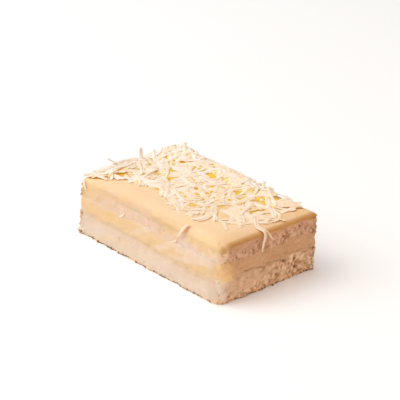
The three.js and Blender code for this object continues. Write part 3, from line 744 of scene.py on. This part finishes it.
# Grated cheese: flat ribbons laid one on another, each bent over what already lies beneath it
cheese = {
    "seed": 7, "steps": 8, "taper": 0.4, "ragged": 0.1, "curl": 0.75, "swerve": 1.0, "settle": 26,
    # each kind of ribbon: where, how many, length, width, thickness, sag between props, roll, twist
    "kinds": (
        ("whole", 430, (11, 27), (2.6, 5.4), (0.3, 0.45), 0.45, 0.08, 0.2),
        ("whole", 110, (3, 8), (1.6, 3.0), (0.3, 0.45), 0.40, 0.15, 0.3),
        ("closed", 70, (12, 26), (3.0, 5.4), (0.3, 0.45), 0.35, 0.1, 0.25),
        ("whole", 135, (12, 27), (2.0, 3.7), (0.35, 0.55), 0.20, 0.2, 0.5),
    ),
    # the whole heap, and where it is closed at the left and along the back, each as limits of x and of y
    "areas": {"whole": ((-81.5, 82), (-53, 51)), "closed": ((-80, 14), (16, 50))},
    "tries": 8,             # headings tried before a place is passed over
    # where the heap lies open: place and radius, and the share of ribbons that keep clear
    "gaps": (
        (-17, 31, 3.8), (6, 10.5, 3.6), (-6, -30, 2.0), (-1, -20, 2.2), (14.5, -18.5, 3.0), (42, -14, 4.4),
        (42.5, 27.5, 3.2), (68, 7.5, 2.8), (69, 28.5, 2.6), (59, -21, 2.2), (20, -33, 1.8), (-34, 1, 1.8),
        (-47, 2, 1.6), (-26, -22, 1.8), (28, 19, 2.0), (25, 48, 1.6), (47, 43, 1.8), (52, 12, 1.8), (30, -3, 1.8),
        (18, 26, 1.6),
    ),
    "gapClear": 0.97, "gapStretch": 1.25,
    # lying where the eye picks them out: middle, heading and bend in degrees, length, width
    "placed": (
        (51, -17, 125, 20, 34, 2.4), (32, -36, -20, 95, 22, 2.2), (19, 24, 88, 28, 33, 3.2),
        (43, 40, -32, 15, 30, 2.8), (63, 40, 45, 8, 20, 3.6), (47, 8, 110, -25, 24, 2.6),
        (24, -6, 83, 20, 19, 3.2), (-60, 24, 83, -20, 22, 3.6), (-77, -22, 96, 20, 26, 3.2),
        (-64, -36, -37, 30, 15, 2.8), (-78, -38, 70, 25, 12, 2.6), (68, 8, -45, 30, 20, 2.4),
        (-76, -46, -25, 30, 13, 2.6), (-80, -44, 85, 20, 13, 2.4), (-70, -43, 20, -20, 15, 2.8),
    ),
    "build": 0.55,          # how much of its thickness each ribbon adds to the heap
    "frontOver": 4.5 * mm, "rightOver": 5.5 * mm,     # how far a ribbon may lie out over the heap's edges
    # where the heap is piled up, at the left and along the back: place, reach and height
    "mounds": ((-74, -14, 13, 22, 4.0), (-66, 46, 24, 14, 4.5), (8, 45, 52, 10, 3.6)),
    "moundFade": 6 * mm,    # how far in from the cake's edge they reach their height
    # stuck to the near face: place along it and height, heading and bend in degrees, length, width
    "stuck": (
        (-30, 34, 40, 70, 8, 1.4), (31, 35, 35, 30, 7, 1.5), (-77, 44, -70, 40, 8, 2.0),
    ),
    "left": -81.5 * mm, "back": 51 * mm,
    # the edge of the heap on the icing, along the front as x, y and at the right-hand end as y, x
    "frontLine": ((-82, -48), (-67, -40), (-58, -33), (-41, -25), (-24, -20), (-6, -27), (9, -34), (29, -37),
                  (37, -34), (42, -26), (60, -28), (75, -25)),
    "rightLine": ((-30, 59), (-19, 63), (-8, 64), (4, 68), (14, 73), (24, 73), (36, 68), (52, 63)),
    "overhang": 3.5 * mm, "cell": 0.5 * mm,
    "coreCell": 2 * mm, "coreShare": 0.8, "coreEdge": 8 * mm, "coreLeft": 2.5 * mm,
    # painted shade: down in a gap the colour deepens to yellow, except near the cake's edge
    "gap": 1.2 * mm, "shallow": 0.2 * mm, "deep": 1.3 * mm,     # how the colour deepens down in a gap
    "openEdge": (3 * mm, 9 * mm),   # and how near the cake's edge it doesn't
    "light": (0.93, 0.855, 0.79, 1), "dark": (0.88, 0.685, 0.49, 1), "gapShade": (0.80, 0.55, 0.15, 1),
    "deeper": 0.6,          # how much deeper the ribbons are towards the right-hand end
    # painted glow, given as emission: light as if it came through the thin ribbons, on their open faces, and deep
    # yellow in the gaps
    "faceLight": (0.45, 0.36, 0.22, 1), "gapLight": (1.0, 0.72, 0.18, 1),
    # the core's colours are painted shade, deep yellow, and it glows with them by emission
    "core": (0.80, 0.52, 0.07, 1), "coreDeep": (0.70, 0.40, 0.045, 1),
    "shader": {"Roughness": 0.55, "Specular IOR Level": 0.3, "Subsurface Weight": 0.1,
               "Subsurface Radius": (1.0, 0.9, 0.7), "Subsurface Scale": 0.3 * mm, "Emission Strength": 0.16},
    # hanging over an edge: over the right-hand end or not, place along it, start, how far aside it starts,
    # drop, swing, width
    "hanging": (
        (True, -8 * mm, 19 * mm, 12 * mm, 12 * mm, -2 * mm, 2.7 * mm),
        (True, -6 * mm, 18 * mm, 12 * mm, 5 * mm, 8 * mm, 1.9 * mm),
        (False, 40 * mm, 4 * mm, 0, 5 * mm, -4 * mm, 2.8 * mm),
    ),
    # standing up out of the heap, from a place on it to a tip, with the width
    "standing": (
        ((-73, 4), (-77, 7, 62.0), 3.4), ((-58, -2), (-80, -26, 60.0), 3.4), ((-58, 40), (-67, 48, 60.5), 3.4),
        ((-46, 42), (-54, 49, 57.0), 3.2), ((32, 41), (26, 49, 57.0), 3.0), ((-68, 15), (-77, 22, 56.5), 2.6),
    ),
}


class RibbonHeap:
    # collects the ribbons as arrays, and keeps the heap's height on a grid
    def __init__(self, seed):
        self.random = np.random.default_rng(seed)
        self.low = np.array([cadBox[0].x, cadBox[0].y]) - 20 * mm
        size = np.array([cadBox[1].x, cadBox[1].y]) + 20 * mm - self.low
        self.heights = np.full(np.ceil(size / cheese["cell"]).astype(int) + 1, icingTop)
        across, along = [low + cheese["cell"] * np.arange(size) for low, size in zip(self.low, self.heights.shape)]
        across, along = across[:, None], along[None]
        inside = np.minimum(blockHigh.x - np.abs(across), blockHigh.y - np.abs(along))
        onTop = smoothStep(0, cheese["moundFade"], inside)
        for x, y, reachX, reachY, height in np.array(cheese["mounds"]) * mm:
            self.heights += onTop * height * np.exp(-((across - x) / reachX) ** 2 - ((along - y) / reachY) ** 2)
        self.start = self.heights.copy()
        self.vertices, self.faces, self.tints = [], [], []
        self.count = 0

    def cells(self, places):
        return tuple(((places - self.low) / cheese["cell"]).astype(int).T)

    def addRibbon(self, middle, aside, widths, thickness):
        # a closed six-sided ribbon along its middle line
        along = np.gradient(middle, axis=0)
        along /= np.linalg.norm(along, axis=1, keepdims=True)
        above = np.cross(along, aside)
        steps = len(middle)
        section = ((0.5, 0), (0.4, 0.5), (-0.4, 0.5), (-0.5, 0), (-0.4, -0.5), (0.4, -0.5))
        sides = len(section)
        ring = np.stack([middle + aside * (widths * s)[:, None] + above * (thickness * t) for s, t in section], axis=1)
        first = self.count
        self.vertices.append(ring.reshape(-1, 3))
        for step in range(steps - 1):
            for side in range(sides):
                a = first + step * sides + side
                b = first + step * sides + (side + 1) % sides
                self.faces.append((a, a + sides, b + sides, b))
        self.faces.append(tuple(first + side for side in range(sides)))
        self.faces.append(tuple(first + (steps - 1) * sides + side for side in reversed(range(sides))))
        deeper = cheese["deeper"] * smoothStep(blockLow.x, blockHigh.x, middle[:, 0].mean())
        self.tints.append(np.full(steps * sides, self.random.random() + deeper))
        self.count += steps * sides

    def lay(self, place, heading, bend, length, width, thickness, sag, roll, twist):
        # drops one ribbon on the heap; False where it would stand out past the cake's edge
        draw = self.random
        steps = cheese["steps"]
        share = np.linspace(-0.5, 0.5, steps + 1)
        heading = heading + bend * share + draw.normal(0, cheese["swerve"]) * share ** 2
        plan = np.cumsum(np.stack([np.cos(heading), np.sin(heading)], axis=1), axis=0) * length / steps
        plan += np.array(place) - plan[steps // 2]
        reach = np.array([blockHigh.x, blockHigh.y]) + cheese["overhang"]
        inFront = plan[:, 1] < frontEdge(plan[:, 0]) - cheese["frontOver"]
        past = plan[:, 0] > rightEdge(plan[:, 1]) + cheese["rightOver"]
        if (np.abs(plan) > reach).any() or inFront.any() or past.any():
            return False
        for turn, (x, y, radius) in enumerate(cheese["gaps"]):
            fromX, fromY = plan[:, 0] - x * mm, plan[:, 1] - y * mm
            lengthways = fromX * math.cos(turn) + fromY * math.sin(turn)
            crossways = fromY * math.cos(turn) - fromX * math.sin(turn)
            away = np.hypot(lengthways / cheese["gapStretch"], crossways * cheese["gapStretch"])
            if away.min() < radius * mm + 0.4 * width and draw.random() < cheese["gapClear"]:
                return False
        aside = np.stack([-np.sin(heading), np.cos(heading)], axis=1)
        widths = width * (1 - cheese["taper"] * np.abs(2 * share) ** 5)
        widths = widths * (1 + cheese["ragged"] * draw.normal(0, 1, steps + 1))
        under = [self.heights[self.cells(plan + aside * (widths * across)[:, None])]
                 for across in (-0.45, -0.22, 0, 0.22, 0.45)]
        beneath = 0.6 * np.max(under, axis=0) + 0.4 * np.mean(under, axis=0)
        rest = beneath.copy()
        for settle in range(cheese["settle"]):  # hangs between what holds it up, with a little sag
            rest[1:-1] = np.maximum(beneath[1:-1], (rest[:-2] + rest[2:]) / 2 - sag)
            rest[0] = max(beneath[0], 2 * rest[1] - rest[2] - 2 * sag)
            rest[-1] = max(beneath[-1], 2 * rest[-2] - rest[-3] - 2 * sag)
        lean = (under[4] - under[0]) / np.maximum(0.9 * widths, 0.5 * mm)
        settled = np.clip(0.6 * np.convolve(lean, np.ones(3) / 3, "same"), -0.5, 0.5)
        roll = settled + roll + twist * share
        level = rest + 0.4 * thickness
        fine = np.linspace(0, steps, 4 * steps + 1)
        finePlan, fineAside = [np.stack([np.interp(fine, range(steps + 1), line[:, axis]) for axis in (0, 1)], axis=1)
                               for line in (plan, aside)]
        fineLevel, fineWidths = [np.interp(fine, range(steps + 1), line) for line in (level, widths)]
        for across in np.linspace(-0.45, 0.45, 7):
            cells = self.cells(finePlan + fineAside * (fineWidths * across)[:, None])
            self.heights[cells] = np.maximum(self.heights[cells], fineLevel + (cheese["build"] - 0.4) * thickness)
        middle = np.column_stack([plan, level])
        tilted = np.column_stack([aside * np.cos(roll)[:, None], np.sin(roll)])
        self.addRibbon(middle, tilted, widths, thickness)
        return True

    def hang(self, overEnd, at, start, lead, drop, swing, width):
        # lies on the icing, turns over its rounded edge and hangs down the cut face
        turn = 4.2 * mm
        edge = (blockHigh.x if overEnd else blockHigh.y) - 2.6 * mm
        bend = turn * math.pi / 2
        path = np.concatenate([np.linspace(-start, 0, 5), np.linspace(0, bend, 6)[1:],
                               np.linspace(bend, bend + drop, 6)[1:]])
        angle = np.clip(path / turn, 0, math.pi / 2)
        out = edge + np.minimum(path, 0) + turn * np.sin(angle)
        level = icingTop + 0.5 * mm - turn * (1 - np.cos(angle)) - np.maximum(0, path - bend)
        share = np.maximum(0, path / (bend + drop))
        sideways = at + swing * share ** 2 + 0.6 * mm * np.sin(path / (3 * mm))
        sideways += lead * (np.minimum(path, 0) / start) ** 2
        flat = np.zeros_like(path)
        middle = np.column_stack([out, sideways, level] if overEnd else [sideways, -out, level])
        aside = np.column_stack([flat, flat + 1, flat] if overEnd else [flat + 1, flat, flat])
        widths = width * (1 - 0.6 * share ** 3)
        self.addRibbon(middle, aside, widths, 0.8 * mm)

    def stand(self, foot, tip, width):
        # rises out of the heap in a curve that steepens towards its tip
        share = np.linspace(0, 1, cheese["steps"] + 1)
        foot, tip = np.array(foot) * mm, np.array(tip) * mm
        ground = self.heights[self.cells(foot[None])][0] - 1.0 * mm
        plan = foot + (tip[:2] - foot) * np.sin(share * math.pi / 2)[:, None]
        middle = np.column_stack([plan, ground + (tip[2] - ground) * share ** 1.2])
        out = (tip[:2] - foot) / np.linalg.norm(tip[:2] - foot)
        aside = np.tile([-out[1], out[0], 0.0], (len(share), 1))
        self.addRibbon(middle, aside, width * mm * (1 - 0.3 * share ** 3), 0.6 * mm)

    def stick(self, x, z, heading, bend, length, width):
        # clings to the near face, following it in and out
        share = np.linspace(-0.5, 0.5, cheese["steps"] + 1)
        turn = math.radians(heading) + math.radians(bend) * share
        plan = np.cumsum(np.stack([np.cos(turn), np.sin(turn)], axis=1), axis=0) * length * mm / cheese["steps"]
        plan += np.array([x, z]) * mm - plan[len(plan) // 2]
        depth = np.array([nearFace(*place) for place in plan])
        depth = 0.5 * depth + 0.5 * depth.min() - 0.2 * mm
        middle = np.column_stack([plan[:, 0], depth, plan[:, 1]])
        aside = np.column_stack([-np.sin(turn), np.zeros_like(turn), np.cos(turn)])
        self.addRibbon(middle, aside, width * mm * (1 - 0.5 * np.abs(2 * share) ** 4), 0.7 * mm)

    def exposure(self):
        # 1 on the open top of the heap, 0 far down between the ribbons: the mask for the painted shade and painted glow
        # in the gaps
        places = np.concatenate(self.vertices)
        steps = [(0, 0)] + [(math.cos(turn), math.sin(turn)) for turn in np.arange(8) * math.pi / 4]
        around = [self.heights[self.cells(places[:, :2] + np.array(step) * cheese["gap"])] for step in steps]
        depth = np.max(around, axis=0) - places[:, 2]
        inside = np.minimum(blockHigh.x - np.abs(places[:, 0]), blockHigh.y - np.abs(places[:, 1]))
        sideways = 1 - smoothStep(*cheese["openEdge"], inside)
        return np.maximum(sideways, 1 - smoothStep(cheese["shallow"], cheese["deep"], depth))


def nearFace(x, z):
    # how far out the near face stands at a place on it
    hits = [bpy.data.objects[name].ray_cast(Vector((x, -1, z)), Vector((0, 1, 0)))
            for name in ("lowerSponge", "yemaFilling", "upperSponge", "yemaIcing")]
    return min((spot.y for hit, spot, normal, face in hits if hit), default=blockLow.y)


def rightEdge(y):
    along, reach = np.array(cheese["rightLine"]).T * mm
    return np.interp(y, along, reach)


def frontEdge(x):
    along, reach = np.array(cheese["frontLine"]).T * mm
    return np.interp(x, along, reach)


def cheeseDensity(x, y):
    # 1 where the heap is thick, less along its front and right-hand edges, 0 outside it
    if not (cheese["left"] < x < rightEdge(y) and frontEdge(x) < y < cheese["back"]):
        return 0
    front = smoothStep(0, 10 * mm, y - frontEdge(x))
    end = smoothStep(0, 100 * mm, rightEdge(y) - x)
    return (0.7 + 0.3 * front) * (0.5 + 0.5 * end)


def makeCheeseCore(heap):
    # the imported lower part of the heap, a sheet that shows between the ribbons in painted shade, deep yellow, and
    # with a painted glow
    size = (cadBox[1] - cadBox[0]) + Vector((8 * mm, 8 * mm, 0))
    bpy.ops.mesh.primitive_grid_add(x_subdivisions=int(size.x / cheese["coreCell"]), size=1,
                                    y_subdivisions=int(size.y / cheese["coreCell"]))
    piece = bpy.context.active_object
    piece.name = piece.data.name = "cheeseCore"
    places = points(piece) * np.array([size.x, size.y, 1])
    heights = heap.heights - icingTop
    around = range(-3, 4)
    rise = np.mean([heights[heap.cells(places[:, :2] + np.array([i, j]) * mm)] for i in around for j in around], axis=0)
    edge = np.minimum.reduce([rightEdge(places[:, 1]) - places[:, 0], places[:, 0] - blockLow.x + cheese["coreLeft"],
                              places[:, 1] - frontEdge(places[:, 0]),
                              blockHigh.y - places[:, 1] + cheese["coreLeft"]]) - cheese["coreEdge"]
    rise = rise * cheese["coreShare"] * smoothStep(0, 8 * mm, edge)
    places[:, 2] = icingTop + rise
    setPoints(piece, places)
    bare = [face.index for face in piece.data.polygons if max(rise[index] for index in face.vertices) < 0.4 * mm]
    selectOnly(piece, faces=bare)
    editMode(piece, "FACE")
    bpy.ops.mesh.delete(type="FACE")
    bpy.ops.mesh.select_all(action="SELECT")
    bpy.ops.mesh.extrude_region()
    bpy.ops.transform.translate(value=(0, 0, -0.6 * mm))
    bpy.ops.mesh.select_all(action="SELECT")
    bpy.ops.mesh.normals_make_consistent(inside=False)
    objectMode()
    material, tree, shader, place = newMaterial("cheeseCoreYellow", cheese["shader"])
    tone = useGroup(tree, toneGroup, {"Vector": place, "Patch Scale": 180.0, "Grain Scale": 500.0})
    colour = mixColours(tree, tone["Patches"], cheese["core"], cheese["coreDeep"])
    tree.links.new(colour, shader.inputs["Base Color"])
    # painted glow: the core gives off its own colour by emission
    tree.links.new(colour, shader.inputs["Emission Color"])
    bump = addNode(tree, "ShaderNodeBump", {"Height": tone["Grain"], "Strength": 0.4, "Distance": 0.6 * mm})
    tree.links.new(bump.outputs["Normal"], shader.inputs["Normal"])
    finishPiece(piece, material, "grated_cheese")


def paintUnder(heap):
    # how well covered each place of the icing is, which sets the painted shade and yellow glow under the cheese
    places = points(bpy.data.objects["yemaIcing"])
    covered = heap.heights > heap.start + 0.1 * mm
    around = range(-2, 3)
    shares = [covered[heap.cells(places[:, :2] + np.array([i, j]) * mm)] for i in around for j in around]
    under = smoothStep(0.45, 0.85, np.mean(shares, axis=0))
    wide = range(-8, 9, 2)
    shares = [covered[heap.cells(places[:, :2] + np.array([i, j]) * mm)] for i in wide for j in wide]
    within = smoothStep(0.45, 0.75, np.mean(shares, axis=0))
    for x, y, radius in cheese["gaps"]:
        away = np.hypot(places[:, 0] - x * mm, places[:, 1] - y * mm)
        under = np.maximum(under, within * (1 - smoothStep(radius * mm, (radius + 3) * mm, away)))
    inside = np.minimum(blockHigh.x - np.abs(places[:, 0]), blockHigh.y - np.abs(places[:, 1]))
    paint(bpy.data.objects["yemaIcing"], "under", under * smoothStep(2 * mm, 7 * mm, inside))


def makeCheese():
    heap = RibbonHeap(cheese["seed"])
    draw = heap.random
    for ribbon in cheese["hanging"]:
        heap.hang(*ribbon)
    for area, count, lengths, widths, thicknesses, sag, roll, twist in cheese["kinds"]:
        laid = 0
        while laid < count:
            x, y = [draw.uniform(*limits) * mm for limits in cheese["areas"][area]]
            if draw.random() > cheeseDensity(x, y):
                continue
            length, width, thickness = [draw.uniform(*pair) * mm for pair in (lengths, widths, thicknesses)]
            for attempt in range(cheese["tries"]):
                heading, bend = draw.uniform(0, 2 * math.pi), draw.normal(0, cheese["curl"])
                rolled, twisted = draw.normal(0, roll), draw.normal(0, twist)
                if heap.lay((x, y), heading, bend, length, width, thickness, sag * mm, rolled, twisted):
                    laid += 1
                    break
    for x, y, heading, bend, length, width in cheese["placed"]:
        heap.lay((x * mm, y * mm), math.radians(heading), math.radians(bend), length * mm, width * mm,
                 0.7 * mm, 0.2 * mm, 0.1, 0.3)
    for ribbon in cheese["standing"]:
        heap.stand(*ribbon)
    bpy.context.view_layer.update()
    for ribbon in cheese["stuck"]:
        heap.stick(*ribbon)
    mesh = bpy.data.meshes.new("gratedCheese")
    mesh.from_pydata(np.concatenate(heap.vertices), [], heap.faces)
    piece = bpy.data.objects.new("gratedCheese", mesh)
    bpy.context.collection.objects.link(piece)
    editMode(piece)
    bpy.ops.mesh.select_all(action="SELECT")
    bpy.ops.mesh.normals_make_consistent(inside=False)
    objectMode()
    paint(piece, "tint", np.concatenate(heap.tints))
    paint(piece, "exposure", heap.exposure())
    paintUnder(heap)
    print("heap of cheese: highest", round(float(heap.heights.max() - icingTop) / mm, 1), "mm over the icing")

    material, tree, shader, place = newMaterial("gratedCheeseWax", cheese["shader"])
    tone = useGroup(tree, toneGroup, {"Vector": place, "Patch Scale": 180.0, "Grain Scale": 900.0})
    tint = addNode(tree, "ShaderNodeAttribute", attribute_name="tint").outputs["Fac"]
    share = calculate(tree, "ADD", calculate(tree, "MULTIPLY", tint, 0.6),
                      calculate(tree, "MULTIPLY", tone["Patches"], 0.3))
    exposure = addNode(tree, "ShaderNodeAttribute", attribute_name="exposure").outputs["Fac"]
    colour = mixColours(tree, share, cheese["light"], cheese["dark"])
    # painted shade: down between the ribbons the colour turns deep yellow
    tree.links.new(mixColours(tree, exposure, cheese["gapShade"], colour), shader.inputs["Base Color"])
    # painted glow: the ribbons give off light by emission, more and deeper yellow in the gaps
    through = mixColours(tree, exposure, cheese["gapLight"], cheese["faceLight"])
    tree.links.new(through, shader.inputs["Emission Color"])
    bump = addNode(tree, "ShaderNodeBump", {"Height": tone["Grain"], "Strength": 0.25, "Distance": 0.1 * mm})
    tree.links.new(bump.outputs["Normal"], shader.inputs["Normal"])
    finishPiece(piece, material, "grated_cheese")
    bpy.ops.object.shade_smooth_by_angle(angle=math.radians(60))
    makeCheeseCore(heap)


makeCheese()


# Crumbs: torn bits on the cut faces and edges, browned ones along the base
crumbs = {
    "seed": 11, "size": (0.4 * mm, 1.15 * mm), "ragged": 0.3, "flat": (0.5, 1.4),
    # how many, and from which sponge and which part of its surface
    "places": (
        (170, "lowerSponge", "foot"), (70, "lowerSponge", "corner"), (60, "upperSponge", "corner"),
        (90, "lowerSponge", "end"), (45, "upperSponge", "end"),
    ),
    "high": 44 * mm,        # below the icing
    "brown": (0.20, 0.085, 0.03, 1), "pale": (0.80, 0.55, 0.36, 1),
    "shader": {"Roughness": 0.9, "Specular IOR Level": 0.2},
}


def crumbSpots(places, part):
    if part == "foot":
        return (places[:, 2] > 0.2 * mm) & (places[:, 2] < 1.6 * mm) & (np.abs(places).max(axis=1) > 50 * mm)
    aside = np.abs(places[:, 1]) > 49 * mm
    ends = (np.abs(places[:, 0]) > 79 * mm) & (places[:, 2] < crumbs["high"])
    return (ends & aside) if part == "corner" else (ends & ~aside)


def makeCrumbs():
    draw = np.random.default_rng(crumbs["seed"])
    bpy.ops.mesh.primitive_cube_add(size=1)
    bit = bpy.context.active_object
    editMode(bit)
    bpy.ops.mesh.select_all(action="SELECT")
    bpy.ops.mesh.subdivide(number_cuts=1, smoothness=1)
    objectMode()
    shape = points(bit)
    shape /= np.linalg.norm(shape, axis=1).mean()
    faces = np.array([face.vertices[:] for face in bit.data.polygons])
    bpy.data.objects.remove(bit)
    vertices, joined, tints = [], [], []
    for count, pieceName, part in crumbs["places"]:
        places = points(bpy.data.objects[pieceName])
        places = places[crumbSpots(places, part)]
        for centre in places[draw.choice(len(places), count, replace=False)]:
            turn = np.array(Matrix.Rotation(draw.uniform(0, 2 * math.pi), 3, Vector(draw.normal(size=3))))
            lump = shape * (1 + crumbs["ragged"] * draw.normal(size=(len(shape), 1))) * draw.uniform(*crumbs["flat"], 3)
            lump = lump @ turn.T * draw.uniform(*crumbs["size"]) * draw.uniform(0.6, 1) + centre
            lump[:, 2] = np.maximum(lump[:, 2], 0)
            joined.append(faces + len(shape) * len(vertices))
            vertices.append(lump)
            tints.append(np.full(len(shape), draw.uniform(0, 0.5) if part == "foot" else draw.uniform(0.75, 1)))
    mesh = bpy.data.meshes.new("tornCrumbs")
    mesh.from_pydata(np.concatenate(vertices), [], np.concatenate(joined).tolist())
    piece = bpy.data.objects.new("tornCrumbs", mesh)
    bpy.context.collection.objects.link(piece)
    paint(piece, "tint", np.concatenate(tints))
    material, tree, shader, place = newMaterial("tornCrumbs", crumbs["shader"])
    tint = addNode(tree, "ShaderNodeAttribute", attribute_name="tint").outputs["Fac"]
    tree.links.new(mixColours(tree, tint, crumbs["brown"], crumbs["pale"]), shader.inputs["Base Color"])
    finishPiece(piece, material)


makeCrumbs()


# Stage, light and camera
stage = {
    "floorSize": 12.0, "floor": (0.96, 0.95, 0.94, 1), "floorGlow": 0.08,
    "world": (1.0, 0.98, 0.96, 1), "worldStrength": 0.2,
    # place, size, power and colour of each softbox, all aimed at the cake
    "lights": (
        ("keySoftbox", (-2.0, -2.25, 2.2), 3.2, 87.0, (1.0, 1.0, 1.0)),
        ("topSoftbox", (-0.7, -0.5, 3.7), 4.0, 102.0, (1.0, 1.0, 1.0)),
        ("warmFill", (1.2, 0.1, 0.35), 0.6, 2.9, (1.0, 0.52, 0.2)),
    ),
}
view = {
    "yaw": math.radians(-45.1), "pitch": math.radians(24.2), "roll": math.radians(3.45),
    "distance": 1.202, "right": -4.7 * mm, "up": -40.4 * mm,
    "focalPixels": 1481, "framePixels": 400, "sensor": 36.0,
}


def makeStage():
    bpy.ops.object.select_all(action="DESELECT")
    bpy.ops.mesh.primitive_plane_add(size=stage["floorSize"])
    floor = bpy.context.active_object
    floor.name = "paleFloor"
    material, tree, shader, place = newMaterial("paleFloor", {
        "Roughness": 0.7, "Base Color": stage["floor"], "Emission Color": stage["floor"],
        "Emission Strength": stage["floorGlow"]})
    floor.data.materials.append(material)

    world = bpy.data.worlds.new("studio")
    world.use_nodes = True
    backdrop = world.node_tree.nodes["Background"]
    backdrop.inputs["Color"].default_value = stage["world"]
    backdrop.inputs["Strength"].default_value = stage["worldStrength"]
    bpy.context.scene.world = world
    for name, place, size, power, colour in stage["lights"]:
        bpy.ops.object.light_add(type="AREA", location=place)
        light = bpy.context.active_object
        light.name = name
        light.rotation_euler = (-Vector(place)).to_track_quat("-Z", "Y").to_euler()
        light.data.size = size
        light.data.energy = power
        light.data.color = colour
    bpy.context.scene.view_settings.view_transform = "Standard"


def makeCamera():
    yaw, pitch, roll = view["yaw"], view["pitch"], view["roll"]
    forward = Vector((math.sin(yaw) * math.cos(pitch), math.cos(yaw) * math.cos(pitch), -math.sin(pitch)))
    level = Vector((math.cos(yaw), -math.sin(yaw), 0))
    upright = level.cross(forward)
    right = math.cos(roll) * level + math.sin(roll) * upright
    up = math.cos(roll) * upright - math.sin(roll) * level
    place = -(view["right"] * right + view["up"] * up + view["distance"] * forward)
    bpy.ops.object.camera_add()
    camera = bpy.context.active_object
    camera.name = "photoCamera"
    camera.matrix_world = Matrix((
        (right.x, up.x, -forward.x, place.x),
        (right.y, up.y, -forward.y, place.y),
        (right.z, up.z, -forward.z, place.z),
        (0, 0, 0, 1),
    ))
    camera.data.sensor_width = view["sensor"]
    camera.data.lens = view["sensor"] * view["focalPixels"] / view["framePixels"]
    bpy.context.scene.camera = camera


makeStage()
makeCamera()
print("stage, lights and camera ready")
